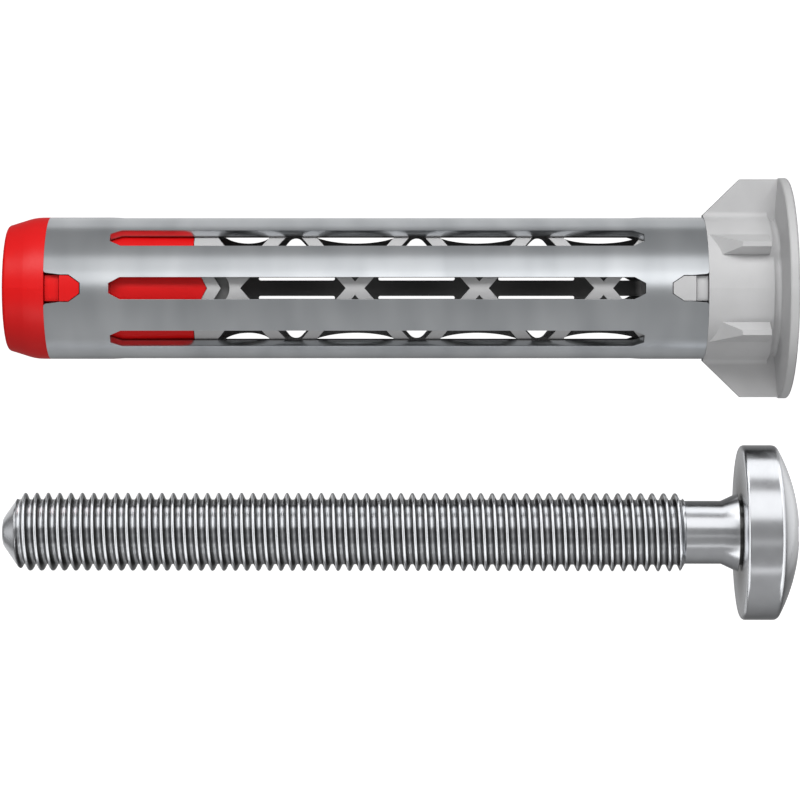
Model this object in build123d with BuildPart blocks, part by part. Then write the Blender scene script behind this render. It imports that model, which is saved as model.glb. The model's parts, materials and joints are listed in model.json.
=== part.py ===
from build123d import *
from math import atan2, cos, degrees, radians, sin
import os

# A hollow wall anchor that lies beside its machine screw. The anchor is a slotted steel sleeve
# with a red nylon nut in its nose end and a light grey nylon moulding in its head end: flange,
# anti-turn wings and ribs, and a folding lattice that reaches through the sleeve to the nut.
# Both axes first run along X, in millimetres, nose at -X and flange or head at +X. The front of
# the anchor faces +Z and its big wings stand along Y. The last lines lay both on the floor.

# Steel sleeve
sleeve_radius = 4.56
sleeve_wall = 0.55
sleeve_nose_x = -22.5
sleeve_flange_x = 19.5
sleeve_seam_angle = 112.5

# Slots round the sleeve, between the legs that buckle outwards
slot_count = 8
slot_nose_x = -18.39
slot_flange_x = 15.50
slot_width = 1.40
slot_end_flat = 0.65
slot_end_taper = 0.70

# Notches in both ends of the sleeve, at the front and the back, where the nylon lugs snap in
notch_angles = (0, 180)
notch_depth = 2.31
notch_flare = 1.05
notch_taper = 0.72
notch_end_flat = 0.70
notch_mouth_round = 0.18
nose_notch_mouth = 1.96
nose_notch_neck = 1.73
flange_notch_mouth = 1.80
flange_notch_neck = 1.66

# Fits of the nylon inside the steel
plug_clearance = 0.04
lug_clearance = 0.05
pad_recess = 0.34
pad_groove = 0.07
nose_lug_step = 1.00
flange_lug_step = 0.82
mouth_pocket_depth = 0.90
joint_gap = 0.05

# Red nylon nut
cap_rim = 0.90
cap_taper = 1.80
cap_tip_radius = 4.00
cap_edge_round = 0.30
cap_shoulder_round = 3.00
nut_tail_x = -13.14
nut_tail_draft = 0.12
nut_thread_radius = 2.07
nut_entry_chamfer = 0.45
tongue_half_width = 1.75
tongue_length = 0.90

# Nylon lattice inside the sleeve. Its front half has diamond windows with open knees between
# them, and its rear half has a spine with rounded windows beside it and scalloped sides.
lattice_clearance = 0.11
lattice_wall = 0.75
window_pitch = 7.862
window_count = 4
first_window_x = -6.775
window_half_length = 3.34
strut_slope = 1.144
knee_half_gap = 0.42
first_knee_x = -10.0
first_knee_half_gap = 1.30
first_knee_back_slope = 1.20
spine_half_width = 0.51
rear_window_half_base = 2.65
rear_window_foot_round = 0.12
rear_window_peak_round = 0.60
scallop_half_length = 3.30
scallop_depth = 1.00
first_scallop_x = -9.84
first_scallop_half_length = 1.92
crescent_point_x = -11.34
crescent_end_x = -10.78
crescent_slope = 0.62
crescent_radius = 1.10
crescent_depth = 0.40

# Flange, collar and plug
plug_x = 15.8
collar_radius = 4.60
collar_end_x = 23.62
neck_radius = 4.35
neck_root_round = 0.20
disc_back_x = 24.08
disc_back_cone = 0.22
disc_thickness = 0.82
disc_radius = 7.11
disc_edge_round = 0.15
screw_bore_radius = 2.75
bore_mouth_chamfer = 0.30

# Two wings that keep the anchor from turning in the board
wing_start_height = 0.10
wing_full_x = 21.90
wing_radius = 7.02
wing_thickness = 0.90
wing_root_round = 0.40
wing_inner_radius = 3.75

# Four smaller ribs beside the wings, each with a plough-shaped front
rib_front_x = 19.60
rib_foot_x = 20.37
rib_top_x = 21.54
rib_end_x = 23.37
rib_inner_foot_angle = 27.7
rib_outer_foot_angle = 48.0
rib_top_angle = 28.9
rib_top_radius = 5.78
rib_top_width = 0.30
rib_root_depth = 0.75

# Machine screw. The solid has a plain ring for every second turn of its thread.
thread_radius = 2.50
thread_root_radius = 2.03
thread_ring_count = 27
thread_ring_land = 0.46
screw_tip_x = -25.67
screw_tip_radius = 1.75
screw_tip_length = 0.75
thread_end_x = 18.26
thread_runout = 0.30
shank_radius = 2.04
flare_start_x = 20.90
flare_radius = 2.54
head_x = 22.15
head_radius = 5.66
head_rim = 2.30
head_edge_round = 0.20
head_crown = 1.50
crown_edge_round = 0.40
recess_width = 1.05
recess_span = 4.60
recess_depth = 2.30
recess_floor_span = 2.00

# The screw lies beside the anchor, axis to axis
axis_spacing = 15.86

# How far cutting shapes run past the surfaces that they cut
cut_overrun = 0.50

# Sizes that follow
sleeve_bore = sleeve_radius - sleeve_wall
plug_radius = sleeve_bore - plug_clearance
tail_radius = plug_radius - nut_tail_draft
cap_x = sleeve_nose_x - cap_rim - cap_taper
lattice_radius = sleeve_bore - lattice_clearance
lattice_bore = lattice_radius - lattice_wall
lattice_nose_x = nut_tail_x + joint_gap
disc_front_x = disc_back_x + disc_thickness
disc_rim_x = disc_back_x + disc_back_cone
head_rim_x = head_x + head_rim
head_top_x = head_rim_x + head_crown
thread_start_x = screw_tip_x + screw_tip_length
thread_ring_pitch = (thread_end_x - thread_start_x - thread_ring_land) / (thread_ring_count - 1)
thread_ring_xs = [thread_start_x + thread_ring_pitch * n for n in range(thread_ring_count)]
window_xs = [first_window_x + window_pitch * n for n in range(window_count)]
knee_xs = [x + window_pitch / 2 for x in window_xs[:-1]]
beyond = sleeve_radius + cut_overrun


def radial_plane(angle):
    # Goes through the axis, and its normal points outwards at this angle from the front
    turn = radians(angle)
    return Plane(origin=(0, 0, 0), x_dir=(1, 0, 0), z_dir=(0, sin(turn), cos(turn)))


notch_planes = [radial_plane(angle) for angle in notch_angles]
slot_planes = [radial_plane(360 / slot_count * n) for n in range(slot_count)]


def notch_side(end_x, inward, mouth, neck):
    # Half of a notch's outline: tapered end, straight neck, slow flare and a mouth with round corners
    at = lambda depth, half: (end_x + inward * depth, half)
    corner = mouth / 2 + notch_mouth_round
    with BuildLine() as side:
        Polyline(
            at(0, corner), at(-cut_overrun, corner), at(-cut_overrun, 0), at(notch_depth, 0),
            at(notch_depth, notch_end_flat / 2), at(notch_depth - notch_taper, neck / 2),
            at(notch_flare, neck / 2), at(notch_mouth_round, mouth / 2),
        )
        TangentArc(at(notch_mouth_round, mouth / 2), at(0, corner), tangent=(-inward, 0))
    return side.line


def notch_filler(end_x, outline, top_radius):
    # What fills a stretch of the notches: the outline raised to a round top, front and back
    with BuildPart() as filler:
        with BuildSketch(*notch_planes):
            Polygon(*outline, align=None)
        extrude(amount=beyond)
        with BuildSketch(Plane.YZ.offset(end_x - notch_depth)):
            Circle(top_radius)
            Circle(lattice_bore, mode=Mode.SUBTRACT)
        extrude(amount=2 * notch_depth, mode=Mode.INTERSECT)
    return filler.part


def snap_lug(end_x, inward, neck, step):
    # Flush lug that fills the tapered end of the notch
    at = lambda depth, half: (end_x + inward * depth, half)
    side, tip = neck / 2 - lug_clearance, (notch_end_flat - lug_clearance) / 2
    corners = [(step, side), (notch_depth - notch_taper, side), (notch_depth - lug_clearance, tip)]
    outline = [at(*corner) for corner in corners] + [at(x, -y) for x, y in reversed(corners)]
    return notch_filler(end_x, outline, sleeve_radius)


def lug_pad(end_x, inward, neck, step):
    # Lower pad between the lug and the rim, with a fine groove at both of its ends
    side = neck / 2 - lug_clearance
    near, far = end_x + inward * pad_groove, end_x + inward * (step - pad_groove)
    outline = [(near, side), (far, side), (far, -side), (near, -side)]
    return notch_filler(end_x, outline, sleeve_radius - pad_recess)


def mouth_pockets(end_x, inward, mouth, neck):
    # Hollows beside the pad, where the notch's mouth is wider than the pad
    inner, outer = neck / 2 - lug_clearance, mouth / 2 + notch_mouth_round
    floor_planes = [plane.offset(plug_radius - mouth_pocket_depth) for plane in notch_planes]
    with BuildPart() as pockets:
        with BuildSketch(*floor_planes):
            for side in (1, -1):
                Polygon(
                    (end_x, side * inner), (end_x + inward * notch_flare, side * inner),
                    (end_x + inward * notch_flare, side * outer), (end_x, side * outer), align=None,
                )
        extrude(amount=beyond)
    return pockets.part


# Steel sleeve: a rolled tube with eight slots, and notches in both ends
seam = radians(sleeve_seam_angle)
rolling_plane = Plane(origin=(sleeve_nose_x, 0, 0), x_dir=(0, sin(seam), cos(seam)), z_dir=(1, 0, 0))

with BuildPart() as sleeve_tube:
    with BuildSketch(rolling_plane):
        Circle(sleeve_radius)
        Circle(sleeve_bore, mode=Mode.SUBTRACT)
    extrude(amount=sleeve_flange_x - sleeve_nose_x)
    slot_side = [
        (slot_nose_x, slot_end_flat / 2),
        (slot_nose_x + slot_end_taper, slot_width / 2),
        (slot_flange_x - slot_end_taper, slot_width / 2),
        (slot_flange_x, slot_end_flat / 2),
    ]
    with BuildSketch(*slot_planes):
        Polygon(*slot_side, *[(x, -y) for x, y in reversed(slot_side)], align=None)
    extrude(amount=beyond, mode=Mode.SUBTRACT)
    for end in (
        (sleeve_nose_x, 1, nose_notch_mouth, nose_notch_neck),
        (sleeve_flange_x, -1, flange_notch_mouth, flange_notch_neck),
    ):
        with BuildSketch(*notch_planes):
            add(notch_side(*end))
            make_face()
            mirror(about=Plane.XZ)
        extrude(amount=beyond, mode=Mode.SUBTRACT)

# Red nylon nut: nose cap, threaded tail, two pointed tongues towards the lattice, and its lugs
nut_lugs = snap_lug(sleeve_nose_x, 1, nose_notch_neck, nose_lug_step)
nut_pads = lug_pad(sleeve_nose_x, 1, nose_notch_neck, nose_lug_step)
nut_pockets = mouth_pockets(sleeve_nose_x, 1, nose_notch_mouth, nose_notch_neck)

with BuildPart() as nut_tongues:
    with BuildSketch(Plane.YZ.offset(nut_tail_x)):
        Circle(tail_radius)
        Circle(lattice_bore, mode=Mode.SUBTRACT)
    extrude(amount=tongue_length)
    with BuildSketch(Plane.XY):
        Polygon(
            (nut_tail_x, tongue_half_width), (nut_tail_x + tongue_length, 0),
            (nut_tail_x, -tongue_half_width), align=None,
        )
    extrude(amount=beyond, both=True, mode=Mode.INTERSECT)

with BuildPart() as nut_body:
    with BuildSketch(Plane.XZ) as nut_profile:
        with BuildLine():
            Polyline(
                (cap_x, nut_thread_radius),
                (cap_x, cap_tip_radius),
                (cap_x + cap_taper, sleeve_radius),
                (sleeve_nose_x, sleeve_radius),
                (sleeve_nose_x, plug_radius),
                (nut_tail_x, tail_radius),
                (nut_tail_x, nut_thread_radius + nut_entry_chamfer),
                (nut_tail_x - nut_entry_chamfer, nut_thread_radius),
                close=True,
            )
        make_face()
        tip_corner = nut_profile.vertices().sort_by_distance((cap_x, cap_tip_radius))[0]
        fillet(tip_corner, radius=cap_edge_round)
        shoulder = nut_profile.vertices().sort_by_distance((cap_x + cap_taper, sleeve_radius))[0]
        fillet(shoulder, radius=cap_shoulder_round)
    revolve(axis=Axis.X)
    add(nut_tongues.part)
    add(nut_pockets, mode=Mode.SUBTRACT)
    add(nut_pads)
    add(nut_lugs)


def on_circle(radius, angle):
    # A point of a cross-section, as (y, z), at this angle from the front
    return (radius * sin(radians(angle)), radius * cos(radians(angle)))


# Ribs beside the wings: a tapered section, drafted so that it leaves the mould, cut in front by
# the plane through its two feet and the start of its top
rib_feet = [on_circle(collar_radius, angle) for angle in (rib_inner_foot_angle, rib_outer_foot_angle)]
rib_crest = on_circle(rib_top_radius, rib_top_angle)
front_foot = Vector(rib_front_x, *rib_feet[1])
inner_foot = Vector(rib_foot_x, *rib_feet[0])
plough_plane = Plane(
    origin=front_foot, z_dir=(inner_foot - front_foot).cross(Vector(rib_top_x, *rib_crest) - front_foot)
)

with BuildPart() as rib:
    with BuildSketch(Plane.YZ.offset(rib_front_x)):
        Polygon(
            on_circle(collar_radius - rib_root_depth, rib_inner_foot_angle), rib_feet[0],
            (rib_crest[0] - rib_top_width / 2, rib_crest[1]),
            (rib_crest[0] + rib_top_width / 2, rib_crest[1]), rib_feet[1],
            on_circle(collar_radius - rib_root_depth, rib_outer_foot_angle), align=None,
        )
    extrude(amount=rib_end_x - rib_front_x)
    split(bisect_by=plough_plane, keep=Keep.BOTTOM)

# Grey nylon moulding: lattice, plug with lugs, collar with wings and ribs, neck and flange disc
moulding_lugs = snap_lug(sleeve_flange_x, -1, flange_notch_neck, flange_lug_step)
moulding_pads = lug_pad(sleeve_flange_x, -1, flange_notch_neck, flange_lug_step)
moulding_pockets = mouth_pockets(sleeve_flange_x, -1, flange_notch_mouth, flange_notch_neck)

with BuildPart() as crescent_tool:
    with BuildSketch(Plane.XY):
        with BuildLine():
            lead = crescent_radius * crescent_slope
            bottom = (crescent_end_x - crescent_radius, -crescent_radius)
            top = (crescent_end_x - crescent_radius, crescent_radius)
            Polyline(
                top, (crescent_point_x - lead, crescent_radius), (crescent_point_x, 0),
                (crescent_point_x - lead, -crescent_radius), bottom,
            )
            ThreePointArc(bottom, (crescent_end_x, 0), top)
        make_face()
    extrude(amount=beyond, both=True)
    with BuildSketch(Plane.YZ.offset(crescent_point_x - crescent_radius)):
        Circle(lattice_radius - crescent_depth)
    extrude(amount=2 * crescent_radius, mode=Mode.SUBTRACT)

with BuildPart() as moulding_body:
    with BuildSketch(Plane.YZ.offset(lattice_nose_x)):
        Circle(lattice_radius)
        Circle(lattice_bore, mode=Mode.SUBTRACT)
    extrude(amount=plug_x - lattice_nose_x)
    # Front half: diamonds, and the knees that open to the sides between them
    side_y = lattice_radius + cut_overrun
    knee_reach = (side_y - knee_half_gap) / strut_slope
    with BuildSketch(Plane.XY):
        for x in window_xs:
            peak = window_half_length * strut_slope
            Polygon(
                (x - window_half_length, 0), (x, peak), (x + window_half_length, 0), (x, -peak), align=None
            )
        for x in knee_xs:
            for side in (1, -1):
                Polygon(
                    (x, side * knee_half_gap), (x + knee_reach, side * side_y),
                    (x - knee_reach, side * side_y), align=None,
                )
        for side in (1, -1):
            rise = side_y - first_knee_half_gap
            Polygon(
                (first_knee_x, side * first_knee_half_gap),
                (first_knee_x + rise / strut_slope, side * side_y),
                (first_knee_x - rise / first_knee_back_slope, side * side_y), align=None,
            )
    extrude(amount=beyond, mode=Mode.SUBTRACT)
    # Rear half: scalloped sides, and rounded windows each side of the spine
    with BuildSketch(Plane.XY):
        for side in (1, -1):
            with Locations((first_scallop_x, side * lattice_radius)):
                Ellipse(first_scallop_half_length, scallop_depth)
            with Locations(*[(x, side * lattice_radius) for x in knee_xs]):
                Ellipse(scallop_half_length, scallop_depth)
    extrude(amount=-beyond, mode=Mode.SUBTRACT)
    with BuildSketch(Plane.XY) as rear_windows:
        for x in window_xs:
            for side in (1, -1):
                peak = spine_half_width + rear_window_half_base * strut_slope
                Polygon(
                    (x - rear_window_half_base, side * spine_half_width), (x, side * peak),
                    (x + rear_window_half_base, side * spine_half_width), align=None,
                )
        by_height = rear_windows.vertices().sort_by(lambda corner: abs(corner.Y))
        fillet(by_height[:-2 * window_count], radius=rear_window_foot_round)
        peaks = rear_windows.vertices().sort_by(lambda corner: abs(corner.Y))[-2 * window_count:]
        fillet(peaks, radius=rear_window_peak_round)
    extrude(amount=-beyond, mode=Mode.SUBTRACT)
    # Nose end: notches that take the nut's tongues, and a crescent hollow behind them
    with BuildSketch(Plane.XY):
        Polygon(
            (nut_tail_x, tongue_half_width + joint_gap), (lattice_nose_x + tongue_length, 0),
            (nut_tail_x, -tongue_half_width - joint_gap), align=None,
        )
    extrude(amount=beyond, both=True, mode=Mode.SUBTRACT)
    add(crescent_tool.part, mode=Mode.SUBTRACT)
    # Plug, collar, neck and disc
    with BuildSketch(Plane.XZ) as flange_profile:
        with BuildLine():
            Polyline(
                (plug_x, screw_bore_radius),
                (plug_x, plug_radius),
                (sleeve_flange_x, plug_radius),
                (sleeve_flange_x, collar_radius),
                (collar_end_x, collar_radius),
                (collar_end_x, neck_radius),
                (disc_back_x, neck_radius),
                (disc_rim_x, disc_radius),
                (disc_front_x, disc_radius),
                (disc_front_x, screw_bore_radius + bore_mouth_chamfer),
                (disc_front_x - bore_mouth_chamfer, screw_bore_radius),
                close=True,
            )
        make_face()
        neck_root = flange_profile.vertices().sort_by_distance((disc_back_x, neck_radius))[0]
        fillet(neck_root, radius=neck_root_round)
        fillet(flange_profile.vertices().sort_by(Axis.Y)[-2:], radius=disc_edge_round)
    revolve(axis=Axis.X)
    add(moulding_pockets, mode=Mode.SUBTRACT)
    add(moulding_pads)
    add(moulding_lugs)
    for flip_y in (False, True):
        for flip_z in (False, True):
            quarter = rib.part
            if flip_y:
                quarter = quarter.mirror(Plane.XZ)
            if flip_z:
                quarter = quarter.mirror(Plane.XY)
            add(quarter)

# Wings: one plate across the collar, with rounded roots and a slanted lead-in on both sides
with BuildPart() as wings:
    with BuildSketch(Plane.YZ.offset(sleeve_flange_x)) as wing_section:
        Circle(collar_radius)
        Rectangle(2 * wing_radius, wing_thickness)
        roots = wing_section.vertices().filter_by_position(Axis.X, -collar_radius, collar_radius)
        fillet(roots, radius=wing_root_round)
    extrude(amount=collar_end_x - sleeve_flange_x)
    with BuildSketch(Plane.YZ.offset(collar_end_x)):
        Rectangle(2 * wing_radius, wing_thickness)
    extrude(amount=disc_back_x + disc_thickness / 2 - collar_end_x)
    with BuildSketch(Plane.XY):
        for side in (1, -1):
            Polygon(
                (sleeve_flange_x, side * (collar_radius + wing_start_height)),
                (wing_full_x, side * wing_radius),
                (wing_full_x, side * 2 * wing_radius),
                (sleeve_flange_x, side * 2 * wing_radius), align=None,
            )
    extrude(amount=wing_radius, both=True, mode=Mode.SUBTRACT)
    with BuildSketch(Plane.YZ.offset(sleeve_flange_x)):
        Circle(wing_inner_radius)
    extrude(amount=disc_front_x, mode=Mode.SUBTRACT)

with BuildPart() as moulding_whole:
    add(moulding_body.part)
    add(wings.part)


def thread_outline():
    # From the tip to the end of the thread: the flat top of each ring, and a groove before the next
    corners = []
    for x in thread_ring_xs:
        corners += [
            (x, thread_radius), (x + thread_ring_land, thread_radius),
            (x + (thread_ring_land + thread_ring_pitch) / 2, thread_root_radius),
        ]
    return corners[:-1]


# Machine screw, with its thread as plain rings, and a cross recess in a domed pan head
with BuildPart() as recess_tool:
    with BuildSketch(Plane.YZ.offset(head_top_x)):
        Rectangle(recess_span, recess_width)
        Rectangle(recess_width, recess_span)
    extrude(amount=-recess_depth)
    with BuildSketch(Plane.XZ):
        Polygon(
            (head_top_x, 0), (head_top_x, recess_span / 2),
            (head_top_x - recess_depth, recess_floor_span / 2), (head_top_x - recess_depth, 0), align=None,
        )
    revolve(axis=Axis.X, mode=Mode.INTERSECT)

with BuildPart() as screw_body:
    with BuildSketch(Plane.XZ) as screw_profile:
        with BuildLine():
            Polyline(
                (head_top_x, 0),
                (screw_tip_x, 0),
                (screw_tip_x, screw_tip_radius),
                *thread_outline(),
                (thread_end_x + thread_runout, shank_radius),
                (flare_start_x, shank_radius),
                (head_x, flare_radius),
                (head_x, head_radius),
                (head_rim_x, head_radius),
            )
            crown_radius = (head_radius ** 2 + head_crown ** 2) / (2 * head_crown)
            RadiusArc((head_rim_x, head_radius), (head_top_x, 0), crown_radius)
        make_face()
        under_corner, crown_corner = screw_profile.vertices().sort_by(Axis.Y)[-2:].sort_by(Axis.X)
        fillet(under_corner, radius=head_edge_round)
        fillet(crown_corner, radius=crown_edge_round)
    revolve(axis=Axis.X)
    add(recess_tool.part, mode=Mode.SUBTRACT)


def resting_place(low_x, low_radius, high_x, high_radius):
    # Lies on two circles of different size, so the axis climbs towards the bigger one
    slope = (high_radius - low_radius) / (high_x - low_x)
    climb = atan2(high_radius - low_radius, high_x - low_x)
    return (low_radius - slope * low_x) * cos(climb), Location((0, 0, 0), (0, -degrees(climb), 0))


anchor_height, anchor_tilt = resting_place(
    cap_x + cap_taper, sleeve_radius, disc_rim_x + disc_edge_round, disc_radius
)
screw_height, screw_tilt = resting_place(
    thread_start_x, thread_radius, head_x + head_edge_round, head_radius
)
anchor_place = Location((0, axis_spacing / 2, anchor_height)) * anchor_tilt
screw_place = Location((0, -axis_spacing / 2, screw_height)) * screw_tilt

# The set is centred over the origin, with the floor at zero
outer_box = Compound([
    nut_body.part.moved(anchor_place), moulding_whole.part.moved(anchor_place),
    screw_body.part.moved(screw_place),
]).bounding_box()
centring = Location((-outer_box.center().X, -outer_box.center().Y, -outer_box.min.Z))

with BuildPart() as steel_sleeve:
    add(sleeve_tube.part.moved(centring * anchor_place))
with BuildPart() as nylon_end_nut:
    add(nut_body.part.moved(centring * anchor_place))
with BuildPart() as flange_lattice:
    add(moulding_whole.part.moved(centring * anchor_place))
with BuildPart() as machine_screw:
    add(screw_body.part.moved(centring * screw_place))

steel_sleeve.part.label = "steel_sleeve"
nylon_end_nut.part.label = "nylon_end_nut"
flange_lattice.part.label = "flange_lattice"
machine_screw.part.label = "machine_screw"

os.makedirs("parts", exist_ok=True)
export_step(steel_sleeve.part, "parts/steel_sleeve.step")
export_step(nylon_end_nut.part, "parts/nylon_end_nut.step")
export_step(flange_lattice.part, "parts/flange_lattice.step")
export_step(machine_screw.part, "parts/machine_screw.step")
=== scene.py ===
import json
import math

import bmesh
import bpy
import numpy as np
from mathutils import Matrix, Vector


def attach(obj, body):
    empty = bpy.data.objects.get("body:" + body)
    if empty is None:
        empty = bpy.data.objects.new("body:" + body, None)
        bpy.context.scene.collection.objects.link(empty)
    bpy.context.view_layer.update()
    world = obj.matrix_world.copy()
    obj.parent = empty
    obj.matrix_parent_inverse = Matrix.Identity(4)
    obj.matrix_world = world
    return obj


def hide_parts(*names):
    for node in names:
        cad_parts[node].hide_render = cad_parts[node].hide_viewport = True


# A metal hollow wall anchor beside its machine screw, seen from straight above

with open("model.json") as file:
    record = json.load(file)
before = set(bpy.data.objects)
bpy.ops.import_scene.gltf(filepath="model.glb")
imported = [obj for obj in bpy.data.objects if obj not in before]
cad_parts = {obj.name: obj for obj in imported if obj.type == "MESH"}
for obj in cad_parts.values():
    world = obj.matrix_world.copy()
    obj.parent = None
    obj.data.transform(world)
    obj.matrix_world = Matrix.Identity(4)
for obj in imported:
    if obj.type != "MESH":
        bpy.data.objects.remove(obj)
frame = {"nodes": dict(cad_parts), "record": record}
bpy.context.view_layer.update()
mounts = {mount["name"]: mount for mount in frame["record"]["mounts"]}
print("frame loaded with", len(frame["nodes"]), "nodes")

# Lengths along each axis are counted from a point this far behind a mount of the record
zeroPoints = {
    "screw_bore": 0.0202,
    "screw_thread": -0.00333,
}


def axisPlace(mountName):
    # Own frame of a turned piece: X along its axis towards the head end, Y kept, Z away from the floor
    mount = mounts[mountName]
    along = Vector(mount["axis"]) * (1 if mount["axis"][0] > 0 else -1)
    up = along.cross(Vector((0, 1, 0)))
    start = Vector(mount["pos_m"]) - along * zeroPoints[mountName]
    return Matrix.Translation(start) @ Matrix((along, Vector((0, 1, 0)), up)).transposed().to_4x4()


anchorPlace = axisPlace("screw_bore")
screwPlace = axisPlace("screw_thread")


class Wire:
    # A socket that takes part in arithmetic: each operator adds one Math node
    def __init__(self, graph, socket):
        self.graph, self.socket = graph, socket

    def __add__(self, other):
        return self.graph.maths("ADD", self, other)

    def __sub__(self, other):
        return self.graph.maths("SUBTRACT", self, other)

    def __mul__(self, other):
        return self.graph.maths("MULTIPLY", self, other)

    def __rsub__(self, other):
        return self.graph.maths("SUBTRACT", other, self)

    __radd__ = __add__
    __rmul__ = __mul__


class Graph:
    # The nodes of one material, or of the world
    def __init__(self, tree):
        self.tree = tree
        tree.nodes.clear()

    def node(self, kind, settings=None, inputs=None, output=0):
        # One node: its settings first, then the values or wires of its sockets
        made = self.tree.nodes.new(kind)
        for key, value in (settings or {}).items():
            setattr(made, key, value)
        for key, value in (inputs or {}).items():
            if isinstance(value, Wire):
                self.tree.links.new(value.socket, made.inputs[key])
            else:
                made.inputs[key].default_value = value
        return Wire(self, made.outputs[output])

    def maths(self, operation, first, second):
        return self.node("ShaderNodeMath", {"operation": operation}, {0: first, 1: second})

    def ramp(self, factor, stops):
        # A colour ramp whose stops are (place, colour)
        made = self.node("ShaderNodeValToRGB", None, {0: factor})
        elements = made.socket.node.color_ramp.elements
        while len(elements) < len(stops):
            elements.new(1.0)
        for element, (place, colour) in zip(elements, stops):
            element.position, element.color = place, colour
        return made

    def blend(self, share, low, high):
        # Sockets 6 and 7 of a Mix node are its two colours, and its output 2 is their mixture
        return self.node("ShaderNodeMix", {"data_type": "RGBA"}, {0: share, 6: low, 7: high}, output=2)

    def noise(self, place, scale, detail, roughness=0.5):
        return self.node(
            "ShaderNodeTexNoise", None,
            {"Vector": place, "Scale": scale, "Detail": detail, "Roughness": roughness},
        )

    def bump(self, height, strength, distance):
        return self.node(
            "ShaderNodeBump", None, {"Strength": strength, "Distance": distance, "Height": height}
        )

    def between(self, value, start, end):
        # Climbs from 0 at the start to 1 at the end
        return self.node("ShaderNodeMapRange", None, {"Value": value, "From Min": start, "From Max": end})

    def fromAxis(self, place, objectPlace):
        # Distance along a turned piece's axis, and distance out from it
        local = self.node(
            "ShaderNodeMapping", {"vector_type": "TEXTURE"},
            {"Vector": objectPlace, "Location": place.translation, "Rotation": place.to_euler()},
        )
        across = self.node(
            "ShaderNodeVectorMath", {"operation": "MULTIPLY"}, {0: local, 1: (0.0, 1.0, 1.0)}
        )
        along = self.node("ShaderNodeSeparateXYZ", None, {0: local}, output="X")
        return along, self.node(
            "ShaderNodeVectorMath", {"operation": "LENGTH"}, {0: across}, output="Value"
        )

    def surface(self, inputs):
        return self.node("ShaderNodeBsdfPrincipled", None, inputs)

    def close(self, kind, surface):
        self.tree.links.new(surface.socket, self.tree.nodes.new(kind).inputs["Surface"])


def painted(name, paint):
    # A material whose nodes the function makes
    made = bpy.data.materials.new(name)
    made.use_nodes = True
    graph = Graph(made.node_tree)
    graph.close("ShaderNodeOutputMaterial", paint(graph))
    return made


def grey(level):
    return (level, level, level, 1)


def shadeByAngle(thing, degrees):
    # Smooth shading, apart from the edges that turn by more than the angle
    thing.data.shade_smooth()
    thing.data.set_sharp_from_angle(angle=math.radians(degrees))


def linked(name, mesh):
    thing = bpy.data.objects.new(name, mesh)
    bpy.context.scene.collection.objects.link(thing)
    return thing


def applied(thing):
    # The same object with its modifiers turned into mesh
    depsgraph = bpy.context.evaluated_depsgraph_get()
    mesh = bpy.data.meshes.new_from_object(thing.evaluated_get(depsgraph))
    thing.modifiers.clear()
    thing.data = mesh
    return thing


nylonLook = {
    "dark": (0.545, 0.545, 0.55, 1),
    "light": (0.61, 0.61, 0.615, 1),
    "cloudScale": 700.0,
    "cloudDetail": 5.0,
    "grainScale": 9000.0,
    "grainDetail": 2.0,
    "grainHeight": 0.000010,
    "grainStrength": 0.4,
    "roughness": 0.46,
    "specular": 0.3,
    # The grey of the painted shade on the lattice's inner surfaces
    "inside": 0.11,
    "bore": 0.0034,
    "skin": 0.00386,
    "latticeEnd": 0.0154,
    "plug": 0.0158,
}


def greyNylon(graph):
    # Moulded nylon with a fine spark-eroded grain, and painted shade darkening it inside the lattice
    place = graph.node("ShaderNodeTexCoord", output="Object")
    grain = graph.noise(place, nylonLook["grainScale"], nylonLook["grainDetail"])
    clouds = graph.noise(place, nylonLook["cloudScale"], nylonLook["cloudDetail"])
    along, radius = graph.fromAxis(anchorPlace, place)
    # Painted shade: surfaces nearer the axis than the outer skin are darkened, up to the plug
    skin = graph.between(radius, nylonLook["bore"], nylonLook["skin"])
    plug = graph.between(along, nylonLook["latticeEnd"], nylonLook["plug"])
    unshaded = graph.maths("MAXIMUM", skin, plug)
    nylon = graph.blend(clouds, nylonLook["dark"], nylonLook["light"])
    return graph.surface({
        "Base Color": graph.blend(unshaded, grey(nylonLook["inside"]), nylon),
        "Roughness": nylonLook["roughness"], "Specular IOR Level": nylonLook["specular"],
        "Normal": graph.bump(grain, nylonLook["grainStrength"], nylonLook["grainHeight"]),
    })


redLook = {
    "dark": (0.75, 0.005, 0.006, 1),
    "light": (0.83, 0.008, 0.009, 1),
    "cloudScale": 600.0,
    "cloudDetail": 4.0,
    "grainScale": 6000.0,
    "grainDetail": 2.0,
    "grainHeight": 0.000008,
    "grainStrength": 0.3,
    "roughness": 0.38,
    "specular": 0.3,
}


def redNylon(graph):
    # Satin red nylon with a faint grain
    place = graph.node("ShaderNodeTexCoord", output="Object")
    clouds = graph.noise(place, redLook["cloudScale"], redLook["cloudDetail"])
    grain = graph.noise(place, redLook["grainScale"], redLook["grainDetail"])
    return graph.surface({
        "Base Color": graph.blend(clouds, redLook["dark"], redLook["light"]),
        "Roughness": redLook["roughness"], "Specular IOR Level": redLook["specular"],
        "Normal": graph.bump(grain, redLook["grainStrength"], redLook["grainHeight"]),
    })


for nodeName, paint in (("flange_lattice", greyNylon), ("nylon_end_nut", redNylon)):
    node = frame["nodes"][nodeName]
    node.data.materials.clear()
    node.data.materials.append(painted(nodeName + "Finish", paint))
print("nylon finishes made")


sleeve = {
    "edgeRound": 0.00005,
    "edgeSegments": 2,
    "edgesFrom": 50.0,
    "weld": 1e-7,
    "flatness": 0.6,
    "smoothUpTo": 40.0,
    "wallWithin": 14.0,
}

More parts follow.
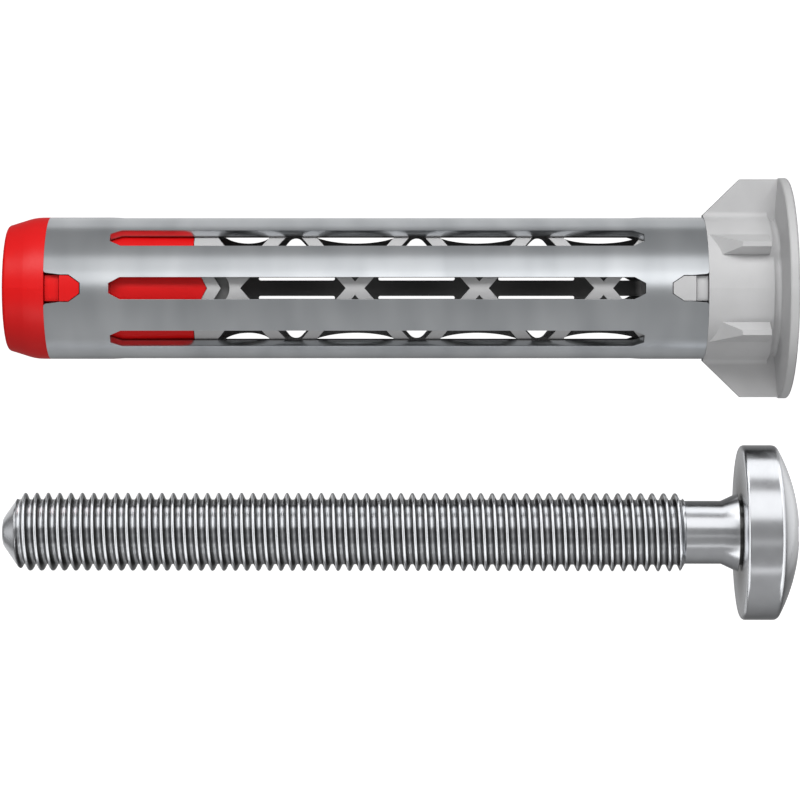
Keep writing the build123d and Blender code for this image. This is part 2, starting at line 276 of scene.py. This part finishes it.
zincLook = {
    "dark": (0.57, 0.595, 0.62, 1),
    "light": (0.71, 0.735, 0.76, 1),
    "cloudScale": 500.0,
    "cloudDetail": 1.5,
    "cloudRoughness": 0.4,
    "cloudRange": (0.3, 0.7),
    "streakStretch": (1.0, 0.35, 0.35),
    "roughness": 0.28,
    # The grey of the painted shade in the sleeve's bore
    "inside": 0.34,
    "bore": 0.00403,
    "edge": 0.00412,
}


def zincSteel(graph):
    # Thin zinc plating on drawn sheet, with faint clouds in its brightness, and painted shade darkening the
    # bore
    place = graph.node("ShaderNodeTexCoord", output="Object")
    drawn = graph.node("ShaderNodeMapping", None, {"Vector": place, "Scale": zincLook["streakStretch"]})
    clouds = graph.noise(drawn, zincLook["cloudScale"], zincLook["cloudDetail"], zincLook["cloudRoughness"])
    share = graph.between(clouds, *zincLook["cloudRange"])
    plated = graph.blend(share, zincLook["dark"], zincLook["light"])
    # Painted shade: the base colour is darkened inside the bore
    radius = graph.fromAxis(anchorPlace, place)[1]
    outside = graph.between(radius, zincLook["bore"], zincLook["edge"])
    colour = graph.blend(outside, grey(zincLook["inside"]), plated)
    return graph.surface({"Base Color": colour, "Metallic": 1.0, "Roughness": zincLook["roughness"]})


def mergeSolid(mesh, s):
    # The loose triangles of a CAD node become one skin, whose flat faces are whole again
    merging = bmesh.new()
    merging.from_mesh(mesh)
    bmesh.ops.remove_doubles(merging, verts=merging.verts, dist=s["weld"])
    bmesh.ops.dissolve_limit(
        merging, angle_limit=math.radians(s["flatness"]), verts=merging.verts, edges=merging.edges
    )
    merging.to_mesh(mesh)
    merging.free()
    if mesh.has_custom_normals:
        mesh.attributes.remove(mesh.attributes["custom_normal"])


def roundWalls(mesh, place, degrees):
    # A face whose normal lies within this angle of the line from the axis is part of a round wall, and
    # its corners get that line as their normal, so that no facet shows in a reflection
    points = np.empty(len(mesh.vertices) * 3)
    mesh.vertices.foreach_get("co", points)
    owner = np.empty(len(mesh.loops), dtype=np.int32)
    mesh.loops.foreach_get("vertex_index", owner)
    normals = np.empty(len(mesh.loops) * 3)
    mesh.corner_normals.foreach_get("vector", normals)
    flats = np.empty(len(mesh.polygons) * 3)
    mesh.polygons.foreach_get("normal", flats)
    sides = np.empty(len(mesh.polygons), dtype=np.int32)
    mesh.polygons.foreach_get("loop_total", sides)
    axis = np.array(place.to_3x3().col[0])
    outward = points.reshape(-1, 3)[owner] - np.array(place.translation)
    outward -= np.outer(outward @ axis, axis)
    outward /= np.linalg.norm(outward, axis=1, keepdims=True)
    facing = (np.repeat(flats.reshape(-1, 3), sides, 0) * outward).sum(1, keepdims=True)
    wall = np.abs(facing) > math.cos(math.radians(degrees))
    normals = np.where(wall, outward * np.sign(facing), normals.reshape(-1, 3))
    mesh.normals_split_custom_set(normals.tolist())


# The sleeve again with its sheared edges broken, so that they catch the light as thin lines
sleeveMesh = frame["nodes"]["steel_sleeve"].data.copy()
sleeveMesh.transform(frame["nodes"]["steel_sleeve"].matrix_world)
mergeSolid(sleeveMesh, sleeve)
steelSleeve = linked("steelSleeve", sleeveMesh)
softEdges = steelSleeve.modifiers.new("softEdges", "BEVEL")
softEdges.width, softEdges.segments = sleeve["edgeRound"], sleeve["edgeSegments"]
softEdges.limit_method, softEdges.angle_limit = "ANGLE", math.radians(sleeve["edgesFrom"])
softEdges.harden_normals = False
applied(steelSleeve)
shadeByAngle(steelSleeve, sleeve["smoothUpTo"])
roundWalls(steelSleeve.data, anchorPlace, sleeve["wallWithin"])
steelSleeve.data.materials.clear()
steelSleeve.data.materials.append(painted("sleeveZinc", zincSteel))
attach(steelSleeve, "root")
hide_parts("steel_sleeve")
print("sleeve made with", len(steelSleeve.data.polygons), "faces")


screw = {
    "pitch": 0.000742,
    "lead": 0.00028,
    "threadRadius": 0.00254,
    "rootRadius": 0.00210,
    "tip": -0.02572,
    "tipAlong": (0.0, 0.00014, 0.00083, 0.00099, 0.00140),
    "tipRadii": (0.00090, 0.00112, 0.00208, 0.00231, 0.00254),
    "threadEnd": 0.01826,
    "runout": 0.0003,
    "shankRadius": 0.00204,
    "flareStart": 0.0209,
    "flareEnd": 0.02197,
    "flareRadius": 0.00254,
    "grooveRadius": 0.0021,
    "head": 0.02215,
    "headRadius": 0.00566,
    "headRim": 0.0023,
    "headCrown": 0.0015,
    "underRound": 0.00028,
    "underSteps": 6,
    "crownRound": 0.0004,
    "crownSteps": 5,
    "domeSteps": 16,
    "around": 80,
    "turnsBefore": 2,
    "turnsSpare": 3,
    "stops": (0.0, 0.08, 0.14, 0.20, 0.36, 0.42, 0.5, 0.58, 0.64, 0.80, 0.86, 0.92),
    "rises": (0.0, 0.01, 0.07, 0.24, 0.82, 0.95, 1.0, 0.95, 0.82, 0.24, 0.07, 0.01),
    "weld": 2e-8,
    "sliver": 1e-9,
    "smoothUpTo": 32.0,
}

recess = {
    "width": 0.00105,
    "span": 0.0046,
    "depth": 0.0023,
    "floorSpan": 0.002,
    "above": 0.0004,
}

brightLook = {
    "dark": (0.58, 0.59, 0.615, 1),
    "light": (0.70, 0.715, 0.74, 1),
    "cloudScale": 900.0,
    "cloudDetail": 5.0,
    "smooth": 0.16,
    "rough": 0.28,
    # The grey of the painted shade on the thread flanks, behind the flare and in the cross recess
    "shadeGrey": 0.12,
    "shadeAcross": ((0.0, 1.0), (0.08, 1.0), (0.22, 0.0), (0.76, 0.0), (0.92, 1.0)),
    "neckFrom": 0.0182,
    "tipFrom": -0.0245,
    "fade": 0.0004,
    # Places of painted shade: the corner behind the flare, and the cross recess
    "shadedCorners": (
        ((0.0027, 0.0048), (0.02196, 0.02193), (0.02216, 0.02219)),
        ((0.0024, 0.0025), (0.02300, 0.02290), (0.02500, 0.02560)),
    ),
}


def brightZinc(graph):
    # Bright plating, with painted shade on the flanks of the thread, between its roots and its crests.
    # The neck and the tip are left unshaded.
    place = graph.node("ShaderNodeTexCoord", output="Object")
    along, radius = graph.fromAxis(screwPlace, place)
    height = graph.between(radius, screw["rootRadius"], screw["threadRadius"])
    unshaded = graph.ramp(height, [(stop, grey(level)) for stop, level in brightLook["shadeAcross"]])
    for start, step in ((brightLook["neckFrom"], 1), (brightLook["tipFrom"], -1)):
        beyond = graph.between(along, start, start + step * brightLook["fade"])
        unshaded = graph.maths("MAXIMUM", unshaded, beyond)
    # The corner behind the flare and the cross recess get painted shade too. Each has three fades from
    # shaded to unshaded: outwards, backwards and forwards.
    for across, back, front in brightLook["shadedCorners"]:
        corner = graph.between(radius, *across)
        for places in (back, front):
            corner = graph.maths("MAXIMUM", corner, graph.between(along, *places))
        unshaded = graph.maths("MINIMUM", unshaded, corner)
    clouds = graph.noise(place, brightLook["cloudScale"], brightLook["cloudDetail"])
    plated = graph.blend(clouds, brightLook["dark"], brightLook["light"])
    roughness = brightLook["smooth"] + clouds * (brightLook["rough"] - brightLook["smooth"])
    return graph.surface({
        "Base Color": graph.blend(unshaded, grey(brightLook["shadeGrey"]), plated),
        "Metallic": 1.0, "Roughness": roughness,
    })


def threadGrid(s):
    # A wave wound round the axis: each row keeps its place in the wave and moves one pitch in a turn,
    # held below the point of the tip and the cone of the runout. The spare turns beyond both ends are
    # pressed flat there.
    perPitch, around = len(s["stops"]), s["around"]
    end = s["threadEnd"] + s["runout"]
    turns = math.ceil((end - s["tip"]) / s["pitch"]) + s["turnsSpare"]
    rows = turns * perPitch
    row, col = np.meshgrid(np.arange(rows), np.arange(around), indexing="ij")
    stop, rise = np.array(s["stops"])[row % perPitch], np.array(s["rises"])[row % perPitch]
    turn = row // perPitch - s["turnsBefore"] + stop + col / around
    x = s["tip"] + s["lead"] + s["pitch"] * turn
    x = np.clip(x, s["tip"], end)
    radius = s["rootRadius"] + (s["threadRadius"] - s["rootRadius"]) * rise
    tipCone = np.interp(x - s["tip"], s["tipAlong"], s["tipRadii"])
    runoutCone = np.interp(x, [s["threadEnd"], end], [s["threadRadius"], s["shankRadius"]])
    radius = np.minimum(np.minimum(radius, tipCone), runoutCone)
    radius = np.where(x >= end, s["shankRadius"], radius)
    angle = 2 * np.pi * col / around
    points = np.stack([x, radius * np.cos(angle), radius * np.sin(angle)], -1).reshape(-1, 3)
    i, j = np.meshgrid(np.arange(rows - 1), np.arange(around), indexing="ij")
    wrap = perPitch * (j == around - 1)
    nextJ = (j + 1) % around
    faces = np.stack([
        i * around + j,
        np.minimum(i + wrap, rows - 1) * around + nextJ,
        np.minimum(i + 1 + wrap, rows - 1) * around + nextJ,
        (i + 1) * around + j,
    ], -1).reshape(-1, 4)
    return points, faces


def turnedGrid(profile, around):
    # A profile of (x, radius) turned round the axis
    profile = np.array(profile)
    angle = 2 * np.pi * np.arange(around) / around
    x, radius = profile[:, :1], profile[:, 1:]
    points = np.stack([
        np.repeat(x, around, 1), radius * np.cos(angle), radius * np.sin(angle)
    ], -1).reshape(-1, 3)
    i, j = np.meshgrid(np.arange(len(profile) - 1), np.arange(around), indexing="ij")
    nextJ = (j + 1) % around
    faces = np.stack(
        [i * around + j, i * around + nextJ, (i + 1) * around + nextJ, (i + 1) * around + j], -1
    ).reshape(-1, 4)
    return points, faces


def arc(centre, radius, start, end, steps):
    # Points of a round edge in the (x, radius) plane, angles in degrees from +x
    angle = np.radians(np.linspace(start, end, steps))
    return np.stack([centre[0] + radius * np.cos(angle), centre[1] + radius * np.sin(angle)], -1).tolist()


def headProfile(s):
    # Neck, flare and pan head from the runout to the middle of the dome, whose last ring is so small
    # that it is welded into a point
    rimEnd = s["head"] + s["headRim"]
    top = rimEnd + s["headCrown"]
    domeRadius = (s["headRadius"] ** 2 + s["headCrown"] ** 2) / (2 * s["headCrown"])
    domeCentre = (top - domeRadius, 0)
    under, crown = s["underRound"], s["crownRound"]
    # The round between rim and dome touches both: its centre is one round inside each of them
    roundRadius = s["headRadius"] - crown
    roundX = domeCentre[0] + math.sqrt((domeRadius - crown) ** 2 - roundRadius ** 2)
    meet = math.degrees(math.atan2(roundRadius, roundX - domeCentre[0]))
    return [
        [s["threadEnd"] + s["runout"], s["shankRadius"]],
        [s["flareStart"], s["shankRadius"]],
        [s["flareEnd"], s["flareRadius"]],
        [s["flareEnd"], s["grooveRadius"]],
        [s["head"], s["grooveRadius"]],
        [s["head"], s["headRadius"] - under],
        *arc((s["head"] + under, s["headRadius"] - under), under, 180, 90, s["underSteps"])[1:],
        *arc((roundX, roundRadius), crown, 90, meet, s["crownSteps"]),
        *arc(domeCentre, domeRadius, meet, 0, s["domeSteps"])[1:-1],
        [top, s["sliver"]],
    ]


def placedMesh(name, points, faces, place, weld=None):
    # A closed mesh in the place that the matrix gives, with its faces turned outwards. Weld distances
    # join its grids and take out empty faces.
    mesh = bpy.data.meshes.new(name)
    mesh.from_pydata(points, [], faces)
    made = bmesh.new()
    made.from_mesh(mesh)
    if weld:
        bmesh.ops.remove_doubles(made, verts=made.verts, dist=weld["weld"])
        bmesh.ops.dissolve_degenerate(made, edges=made.edges, dist=weld["sliver"])
    bmesh.ops.recalc_face_normals(made, faces=made.faces)
    made.transform(place)
    made.to_mesh(mesh)
    made.free()
    return linked(name, mesh)


def joinedGrids(grids):
    # The points of all the grids, and their faces, which count on from the points before them
    starts = np.cumsum([0] + [len(grid[0]) for grid in grids[:-1]])
    points = np.concatenate([grid[0] for grid in grids])
    faces = np.concatenate([grid[1] + start for grid, start in zip(grids, starts)])
    return points, faces.tolist()


def crossTool(s, r):
    # A cross that narrows towards its floor, standing in the head along the axis: two loops, each with
    # the three corners of one arm turned by a quarter turn at a time
    headTop = s["head"] + s["headRim"] + s["headCrown"]
    floor, top = headTop - r["depth"], headTop + r["above"]
    slope = (r["span"] - r["floorSpan"]) / r["depth"] / 2
    w = r["width"] / 2
    points = []
    for x, reach in ((floor, r["floorSpan"] / 2), (top, r["span"] / 2 + slope * r["above"])):
        arm = [(w, w), (w, reach), (-w, reach)]
        for c, d in ((1, 0), (0, 1), (-1, 0), (0, -1)):
            points += [(x, y * c - z * d, y * d + z * c) for y, z in arm]
    count = len(points) // 2
    sides = [(i, (i + 1) % count, (i + 1) % count + count, i + count) for i in range(count)]
    ends = [tuple(range(count)), tuple(range(count, 2 * count))]
    return placedMesh("crossTool", points, sides + ends, screwPlace)


tipProfile = [[screw["tip"], screw["sliver"]], [screw["tip"], screw["tipRadii"][0]]]
grids = [
    turnedGrid(tipProfile, screw["around"]),
    threadGrid(screw),
    turnedGrid(headProfile(screw), screw["around"]),
]
machineScrew = placedMesh("machineScrew", *joinedGrids(grids), screwPlace, screw)
cutter = crossTool(screw, recess)
pressing = machineScrew.modifiers.new("pressing", "BOOLEAN")
pressing.operation, pressing.object, pressing.solver = "DIFFERENCE", cutter, "EXACT"
applied(machineScrew)
bpy.data.objects.remove(cutter)
shadeByAngle(machineScrew, screw["smoothUpTo"])
machineScrew.data.materials.clear()
machineScrew.data.materials.append(painted("screwZinc", brightZinc))
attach(machineScrew, "root")
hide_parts("machine_screw")
print("screw made with", len(machineScrew.data.polygons), "faces")


# Camera and floor: the camera looks squarely at the anchor's axis, and only it sees the white floor
stage = {
    "cameraDistance": 0.194,
    "pixelsPerMetre": 15500.0,
    "anchorRow": 288.2,
    "framePixels": 800.0,
    "sensorMillimetres": 36.0,
    "nearAndFar": (0.01, 10.0),
    "floorHalf": 3.0,
    "floorColour": 0.85,
    "floorGlow": 0.95,
    "cardHalf": (0.026, 0.0052),
    "cardDrop": -0.0002,
    "cardColour": 0.03,
    "paperRoughness": 0.9,
}


def rectangle(name, halfX, halfY):
    mesh = bpy.data.meshes.new(name)
    corners = [(-halfX, -halfY, 0), (halfX, -halfY, 0), (halfX, halfY, 0), (-halfX, halfY, 0)]
    mesh.from_pydata(corners, [], [(0, 1, 2, 3)])
    return linked(name, mesh)


floor = rectangle("floor", stage["floorHalf"], stage["floorHalf"])
floor.data.materials.append(painted("paper", lambda graph: graph.surface({
    "Base Color": grey(stage["floorColour"]), "Roughness": stage["paperRoughness"],
    "Emission Color": grey(1.0), "Emission Strength": stage["floorGlow"],
})))
floor.visible_glossy = False
floor.visible_diffuse = False
floor.visible_shadow = False

# A dark card right under the anchor, which the camera doesn't see, keeps light out of it from below
card = rectangle("card", *stage["cardHalf"])
card.data.materials.append(painted("blackCard", lambda graph: graph.surface({
    "Base Color": grey(stage["cardColour"]), "Roughness": stage["paperRoughness"],
})))
card.location = (0, anchorPlace.translation.y, stage["cardDrop"])
card.visible_camera = False

# The lens gives the pixels per metre at the anchor's axis, and the shift puts the axis on its row
cameraData = bpy.data.cameras.new("camera")
cameraData.sensor_width = stage["sensorMillimetres"]
sensorShare = stage["pixelsPerMetre"] * stage["cameraDistance"] / stage["framePixels"]
cameraData.lens = sensorShare * stage["sensorMillimetres"]
cameraData.shift_y = stage["anchorRow"] / stage["framePixels"] - 0.5
cameraData.clip_start, cameraData.clip_end = stage["nearAndFar"]
camera = linked("camera", cameraData)
camera.matrix_world = anchorPlace @ Matrix.Translation((0, 0, stage["cameraDistance"]))
bpy.context.scene.camera = camera


# What the surfaces mirror: brightness against the angle from straight up, towards +Y
surroundings = {
    "stops": (
        (-180, 0.40), (-162, 0.25), (-145, 0.12), (-125, 0.22), (-100, 0.36), (-80, 0.42), (-50, 0.40),
        (-24, 0.35), (0, 0.33), (60, 0.36), (90, 0.33), (115, 0.26), (135, 0.12), (155, 0.20), (180, 0.40),
    ),
    "endsLoss": 0.85,
    "seen": 1.0,
}


def roomLight(graph):
    # The angle round the X axis is arctan2(y, z) of the direction, brought from a whole turn to 0 to 1. A
    # ramp turns it into grey, which fades with the square of x towards both ends of the room.
    toward = graph.node("ShaderNodeTexCoord", output="Generated")
    parts = graph.node("ShaderNodeSeparateXYZ", None, {0: toward})
    x, y, z = (Wire(graph, socket) for socket in parts.socket.node.outputs)
    turn = graph.maths("ARCTAN2", y, z) * (0.5 / math.pi) + 0.5
    stops = [((angle + 180) / 360, grey(level)) for angle, level in surroundings["stops"]]
    around = graph.ramp(turn, stops)
    fade = 1.0 - x * x * surroundings["endsLoss"]
    around = graph.node("ShaderNodeVectorMath", {"operation": "SCALE"}, {0: around, "Scale": fade})
    byCamera = graph.node("ShaderNodeLightPath", output="Is Camera Ray")
    colour = graph.blend(byCamera, around, grey(surroundings["seen"]))
    return graph.node("ShaderNodeBackground", None, {"Color": colour})


world = bpy.data.worlds.new("room")
bpy.context.scene.world = world
world.use_nodes = True
room = Graph(world.node_tree)
room.close("ShaderNodeOutputWorld", roomLight(room))


# Panels of light for each piece, in degrees. A panel's middle stands at an angle from the line of
# sight towards +Y, after it has leant towards +X, and it covers the spread each way across the pieces
# and the reach each way along them.
softBoxes = {
    "distance": 0.4,
    "forSleeve": {
        "sleeveKey": {"angle": 17.0, "spread": 11.5, "radiance": 1.22, "lean": 7.0, "reach": 18.0},
        "sleeveHigh": {"angle": 41.0, "spread": 11.0, "radiance": 0.74, "lean": 7.0, "reach": 18.0},
        "sleeveRim": {"angle": 140.0, "spread": 24.0, "radiance": 0.50, "lean": 0.0, "reach": 40.0},
        "sleeveLow": {"angle": -122.0, "spread": 26.0, "radiance": 0.18, "lean": 0.0, "reach": 40.0},
    },
    "forMoulded": {
        "mouldedKey": {"angle": 43.0, "spread": 12.0, "radiance": 4.8, "lean": 0.0, "reach": 40.0},
        "mouldedLow": {"angle": -42.0, "spread": 8.0, "radiance": 1.7, "lean": 0.0, "reach": 40.0},
    },
    "forScrew": {
        "screwKey": {"angle": 39.5, "spread": 20.0, "radiance": 1.1, "lean": 0.0, "reach": 40.0},
        "screwSide": {"angle": 98.0, "spread": 19.0, "radiance": 1.25, "lean": 0.0, "reach": 40.0},
        "screwTop": {"angle": -11.0, "spread": 3.5, "radiance": 0.35, "lean": 0.0, "reach": 40.0},
        "screwLow": {"angle": -48.0, "spread": 3.5, "radiance": 0.75, "lean": 0.0, "reach": 40.0},
        "screwLeft": {"angle": 0.0, "spread": 65.0, "radiance": 1.5, "lean": -65.0, "reach": 14.0},
        "screwRight": {"angle": 0.0, "spread": 65.0, "radiance": 1.5, "lean": 65.0, "reach": 14.0},
        "screwPoint": {"angle": 0.0, "spread": 60.0, "radiance": 1.0, "lean": -98.0, "reach": 18.0},
        "screwBackLeft": {"angle": 180.0, "spread": 50.0, "radiance": 0.5, "lean": -34.0, "reach": 16.0},
        "screwBackRight": {"angle": 150.0, "spread": 35.0, "radiance": 0.3, "lean": 38.0, "reach": 16.0},
        "screwCrown": {"angle": 0.0, "spread": 60.0, "radiance": 1.0, "lean": 95.0, "reach": 15.0},
        "screwDome": {"angle": -38.0, "spread": 35.0, "radiance": 0.45, "lean": 128.0, "reach": 16.0},
    },
}


def grouped(name, things):
    group = bpy.data.collections.new(name)
    for thing in things:
        group.objects.link(thing)
    return group


def softBox(name, box, lit, blockers):
    # The energy is the radiance times pi and the panel's area
    distance = softBoxes["distance"]
    data = bpy.data.lights.new(name, "AREA")
    data.shape = "RECTANGLE"
    data.size = 2 * distance * math.tan(math.radians(box["reach"]))
    data.size_y = 2 * distance * math.tan(math.radians(box["spread"]))
    data.energy = box["radiance"] * math.pi * data.size * data.size_y
    light = linked(name, data)
    turn = Matrix.Rotation(math.radians(-box["angle"]), 4, "X")
    lean = Matrix.Rotation(math.radians(box["lean"]), 4, "Y")
    light.matrix_world = anchorPlace @ turn @ lean @ Matrix.Translation((0, 0, distance))
    light.visible_camera = False
    light.light_linking.receiver_collection = grouped(name + "Lit", lit)
    light.light_linking.blocker_collection = blockers


moulded = [frame["nodes"]["flange_lattice"], frame["nodes"]["nylon_end_nut"]]
anchorGroup = grouped("anchorPieces", [steelSleeve] + moulded)
screwGroup = grouped("screwPieces", [machineScrew])
for lit, blockers, boxes in (
    ([steelSleeve], anchorGroup, softBoxes["forSleeve"]),
    (moulded, anchorGroup, softBoxes["forMoulded"]),
    ([machineScrew], screwGroup, softBoxes["forScrew"]),
):
    for name, box in boxes.items():
        softBox(name, box, lit, blockers)
bpy.context.scene.view_settings.view_transform = "Standard"
print("stage set")
